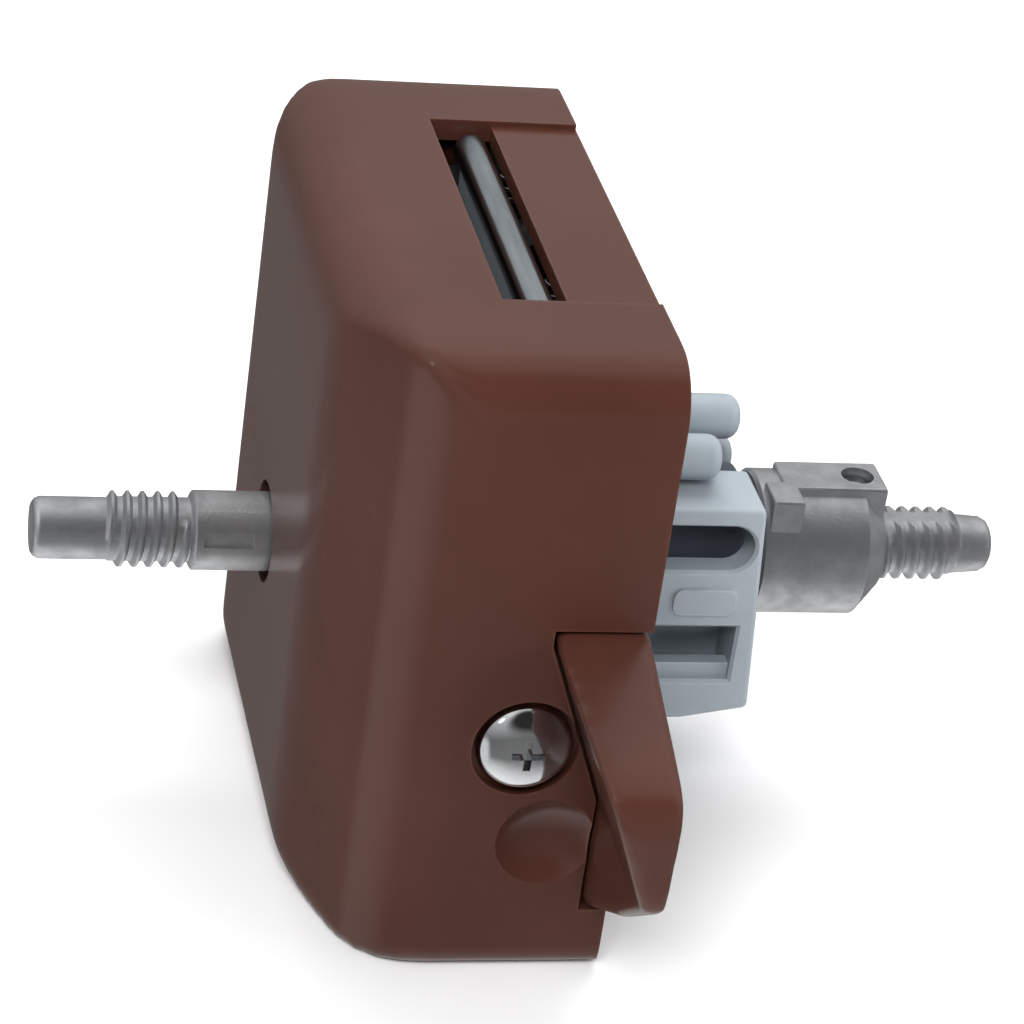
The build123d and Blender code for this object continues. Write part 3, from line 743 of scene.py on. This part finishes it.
def makeGuide(s):
    half, before, far = s["half"], s["before"], s["far"]
    body = addBlock("door_guide", (s["start"], s["slantEnd"]), (-half, half), (s["bottom"], s["top"]))
    slant = Vector((s["slantEnd"] - s["slantTop"], 0, s["slantLow"] - s["top"]))
    sliceOff(body, (s["slantTop"], 0, s["top"]), (-slant.z, 0, slant.x))
    heel = Vector((s["heelX"] - s["slantEnd"], 0, s["bottom"] - s["slantLow"]))
    sliceOff(body, (s["slantEnd"], 0, s["slantLow"]), (-heel.z, 0, heel.x))
    bevelChosen(body, s["edge"], 3, lambda p, e: any(q.x > s["start"] + 0.1 for q in p))
    cutAway(body, addRod("bore", "x", s["inner"], before, far, sides=96))
    cutAway(body, addBlock("open", (before, far), (s["openFrom"], far), (0, far)))
    cutAway(body, addBlock("back", (before, far), (s["inner"] - s["backGap"], far), (s["backLow"], far)))
    deep = (-half - over, -s["inner"] + s["windowDepth"])
    middle = sum(s["upperZ"]) / 2
    radius = (s["upperZ"][1] - s["upperZ"][0]) / 2
    rim = ((-half + s["rim"], radius), (-half - s["rim"], radius + 2 * s["rim"]))
    cutAway(body, addBlock("upper", s["upperX"], deep, s["upperZ"]))
    cutAway(body, flaredBlock("upperRim", s["upperX"], s["upperZ"], -half, s["rim"]))
    cutAway(body, addRod("upperEnd", "y", radius, *deep, (s["upperX"][1], middle)))
    cutAway(body, turnPiece("upperEndRim", "y", rim, (s["upperX"][1], middle)))
    cutAway(body, addBlock("lower", s["lowerX"], deep, s["lowerZ"]))
    cutAway(body, flaredBlock("lowerRim", s["lowerX"], s["lowerZ"], -half, s["rim"]))
    ledgeY = (-half + s["ledgeSink"], -s["inner"] + s["ledgeBack"])
    ledge = addBlock("ledge", s["ledgeX"], ledgeY, s["ledgeZ"])
    badge = addBlock("badge", s["badgeX"], (-half - s["badgeOut"], -half + over), s["badgeZ"])
    bevelChosen(badge, s["badgeRound"], 4, lambda p, e: abs(p[0].y - p[1].y) > 1)
    softenEdges(badge, s["badgeSoft"])
    joinOn(body, ledge, badge)
    wide = half + s["flange"]
    tall = (s["bottom"] - s["flangeBelow"], s["top"] + s["flangeAbove"])
    flange = addBlock("flange", (s["flangeStart"], s["start"] + 0.01), (-wide, wide), tall)
    cutAway(flange, addRod("bore", "x", s["inner"], before, 0, sides=96))
    joinOn(body, flange)
    cutAway(body, addBlock("slot", (before, s["start"]), (-s["slotHalf"], s["slotHalf"]), (0, far)))
    cutAway(body, addRod("detent", "z", s["detentRadius"], *s["detentZ"], (s["detentX"], 0), 24))
    smoothShade(body)
    return finishPiece(body, "lock_body", ["guide"], greyPlastic)


makeGuide(guideShape)

pegShape = dict(
    # across, up, radius, and where the peg ends
    places=((3.4, 11.1, 2.1, 16.8), (-4.4, 11.1, 2.1, 13.2), (8.0, 4.6, 1.9, 18.2)),
    start=-2.0, nose=0.6, steps=6)


def makePegs(s):
    made = []
    for y, z, radius, reach in s["places"]:
        nose = radius * s["nose"]
        stations = [(s["start"], radius), (reach - nose, radius)]
        for i in range(1, s["steps"] + 1):
            angle = i / s["steps"] * math.pi / 2
            stations.append((reach - nose * (1 - math.sin(angle)), radius - nose * (1 - math.cos(angle))))
        made.append(turnPiece("door_peg", "x", stations, (y, z), 48))
    makeActive(made[0])
    for peg in made:
        peg.select_set(True)
    bpy.ops.object.join()
    made[0].name = "door_pegs_moulded"
    smoothShade(made[0], 40)
    return finishPiece(made[0], "lock_body", ["door_pegs"], greyPlastic)


makePegs(pegShape)


# end screw and locking bar

headShape = dict(
    place=(-9.3, 0.2), sink=1.0, shank=1.25, length=3.9, point=0.6,
    recess=1.4, recessWidth=0.65, recessDepth=0.9,
    # height over the seat, and radius
    dome=((0.0, 4.15), (0.35, 4.15), (0.8, 4.05), (1.25, 3.75), (1.65, 3.25), (1.95, 2.6), (2.15, 1.9),
          (2.25, 1.1), (2.3, 0.4)))


def makeEndScrew(s):
    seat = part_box("casing")[0].y / mm + s["sink"]
    end = seat + s["length"]
    stations = [(end, s["shank"] / 2), (end - s["point"], s["shank"]), (seat, s["shank"])]
    stations += [(seat - 0.001, s["dome"][0][1])]
    stations += [(seat - height, radius) for height, radius in s["dome"][1:]]
    head = turnPiece("end_screw_head", "y", stations, s["place"], 64)
    x, z = s["place"]
    top = seat - s["dome"][-1][0]
    deep = (top - over, top + s["recessDepth"])
    wide = s["recessWidth"] / 2
    cutAway(head, addBlock("slotA", (x - s["recess"], x + s["recess"]), deep, (z - wide, z + wide)))
    cutAway(head, addBlock("slotB", (x - wide, x + wide), deep, (z - s["recess"], z + s["recess"])))
    smoothShade(head, 40)
    return finishPiece(head, "lock_body", ["end_screw"], brightSteel)


makeEndScrew(headShape)

barShape = dict(radius=1.5, x=-9.7, z=33.1, y=(-22.5, 12.1), round=0.7, steps=6)


def makeBar(s):
    low, high = s["y"]
    ends = []
    for i in range(s["steps"] + 1):
        angle = i / s["steps"] * math.pi / 2
        ends.append((s["round"] * (1 - math.sin(angle)), s["radius"] - s["round"] * (1 - math.cos(angle))))
    stations = [(low + inset, radius) for inset, radius in reversed(ends)]
    stations += [(high - inset, radius) for inset, radius in ends]
    bar = turnPiece("locking_bar_steel", "y", stations, (s["x"], s["z"]), 48)
    smoothShade(bar, 40)
    return finishPiece(bar, "bar", ["locking_bar"], drawnSteel)


makeBar(barShape)


# finishes on the carried-over CAD nodes

nodeFinish = {
    "base_plate": brownPlastic, "bar_guide": blackPlastic, "bar_carrier": greyPlastic,
    "hand_bush": blackPlastic, "push_sleeve": sleevePlastic, "drive_pinion": brassFinish,
    "keeper_plate": plainSteel, "screw_plate": plainSteel, "latch_slide": zincCast,
    "latch_rod": drawnSteel, "drive_bar": plainSteel, "sleeve_clip": plainSteel,
    "claw_rivets": brightSteel, "case_screws": brightSteel, "keeper_screws": brightSteel,
    "cross_pin": brightSteel, "detent_ball": brightSteel, "detent_spring": springWire,
    "bar_springs": springWire, "latch_spring": springWire}

for name, finish in nodeFinish.items():
    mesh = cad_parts[name].data
    mesh.materials.clear()
    mesh.materials.append(finish)
print("finishes put on", len(nodeFinish), "CAD nodes")


# stage, light and camera

stageLook = dict(
    floor=(0.86, 0.86, 0.87), floorSize=3000, worldStrength=0.6,
    # position from straight down (0) to straight up (1), and brightness
    heights=((0.0, 1.8), (0.1, 1.2), (0.2, 0.35), (0.42, 0.3), (0.6, 0.7), (0.8, 1.0), (0.92, 1.5),
             (1.0, 1.0)),
    # direction, inner and outer angle in degrees, brightness
    areas=(((0.2, -0.75, 0.6), 25, 48, 0.05), ((-0.79, -0.2, -0.49), 12, 30, 1.3),
           ((-0.71, -0.38, 0.58), 3, 8, 12)))


def makeStage(s):
    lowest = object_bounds()[0].z
    bpy.ops.object.select_all(action="DESELECT")
    bpy.ops.mesh.primitive_plane_add(size=s["floorSize"] * mm, location=(0, 0, lowest))
    floor = settle("floor")
    paper = bpy.data.materials.new("palePaper")
    paper.use_nodes = True
    paper.node_tree.nodes["Principled BSDF"].inputs["Base Color"].default_value = (*s["floor"], 1)
    paper.node_tree.nodes["Principled BSDF"].inputs["Roughness"].default_value = 0.9
    floor.data.materials.append(paper)
    floor.visible_glossy = False
    floor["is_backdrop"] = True
    makeWorld(s)


def makeWorld(s):
    # brightness by height, then soft bright or dark areas in a few directions
    world = bpy.data.worlds.new("studio")
    bpy.context.scene.world = world
    world.use_nodes = True
    tree = world.node_tree
    back = tree.nodes["Background"]
    back.inputs["Strength"].default_value = s["worldStrength"]
    place = addNode(tree, "ShaderNodeTexCoord")
    split = addNode(tree, "ShaderNodeSeparateXYZ")
    ramp = addNode(tree, "ShaderNodeValToRGB")
    half = addNode(tree, "ShaderNodeMapRange")
    half.inputs["From Min"].default_value = -1
    tree.links.new(place.outputs["Generated"], split.inputs["Vector"])
    tree.links.new(split.outputs["Z"], half.inputs["Value"])
    tree.links.new(half.outputs["Result"], ramp.inputs["Fac"])
    while len(ramp.color_ramp.elements) < len(s["heights"]):
        ramp.color_ramp.elements.new(0.5)
    for element, (position, value) in zip(ramp.color_ramp.elements, s["heights"]):
        element.position = position
        element.color = (value, value * 0.985, value * 0.97, 1)
    shade = ramp.outputs["Color"]
    for direction, inner, outer, value in s["areas"]:
        toward = addNode(tree, "ShaderNodeVectorMath", operation="DOT_PRODUCT")
        toward.inputs[1].default_value = Vector(direction).normalized()
        near = addNode(tree, "ShaderNodeMapRange", interpolation_type="SMOOTHSTEP")
        near.inputs["From Min"].default_value = math.cos(math.radians(outer))
        near.inputs["From Max"].default_value = math.cos(math.radians(inner))
        mix = addNode(tree, "ShaderNodeMix", data_type="RGBA")
        mix.inputs["B"].default_value = (value, value, value, 1)
        tree.links.new(place.outputs["Generated"], toward.inputs[0])
        tree.links.new(toward.outputs["Value"], near.inputs["Value"])
        tree.links.new(near.outputs["Result"], mix.inputs["Factor"])
        tree.links.new(shade, mix.inputs["A"])
        shade = mix.outputs["Result"]
    tree.links.new(shade, back.inputs["Color"])


def addSoftbox(name, place, target, size, power):
    # lights the surfaces, but isn't seen in them
    light = bpy.data.lights.new(name, "AREA")
    light.shape = "RECTANGLE"
    light.size, light.size_y = size[0] * mm, size[1] * mm
    light.energy = power
    obj = bpy.data.objects.new(name, light)
    obj.visible_glossy = False
    bpy.context.scene.collection.objects.link(obj)
    obj.location = Vector(place) * mm
    obj.rotation_mode = "QUATERNION"
    obj.rotation_quaternion = (Vector(target) * mm - obj.location).to_track_quat("-Z", "Y")


cameraPlace = dict(
    target=(-3.991, 0.0, 2.465), distance=342.304, azimuth=14.937, elevation=29.067, roll=8.480, lens=132.051)


def makeCamera(s):
    data = bpy.data.cameras.new("camera")
    data.lens = s["lens"]
    data.sensor_width = 36
    data.clip_start = 0.01
    data.clip_end = 10
    camera = bpy.data.objects.new("camera", data)
    bpy.context.scene.collection.objects.link(camera)
    azimuth, elevation = math.radians(s["azimuth"]), math.radians(s["elevation"])
    toCamera = Vector((
        -math.sin(azimuth) * math.cos(elevation), -math.cos(azimuth) * math.cos(elevation),
        math.sin(elevation)))
    camera.location = (Vector(s["target"]) + toCamera * s["distance"]) * mm
    camera.rotation_mode = "QUATERNION"
    turn = (-toCamera).to_track_quat("-Z", "Y")
    camera.rotation_quaternion = turn @ Quaternion((0, 0, 1), math.radians(s["roll"]))
    bpy.context.scene.camera = camera


makeStage(stageLook)
addSoftbox("keyLight", (-150, -350, 420), (0, 0, 0), (260, 260), 2.6)
addSoftbox("topLight", (60, 260, 380), (0, 0, 0), (400, 300), 1.8)
addSoftbox("fillLight", (420, -200, 160), (0, 0, 0), (300, 300), 1.0)
makeCamera(cameraPlace)
bpy.context.scene.view_settings.view_transform = "Standard"
print("stage ready")
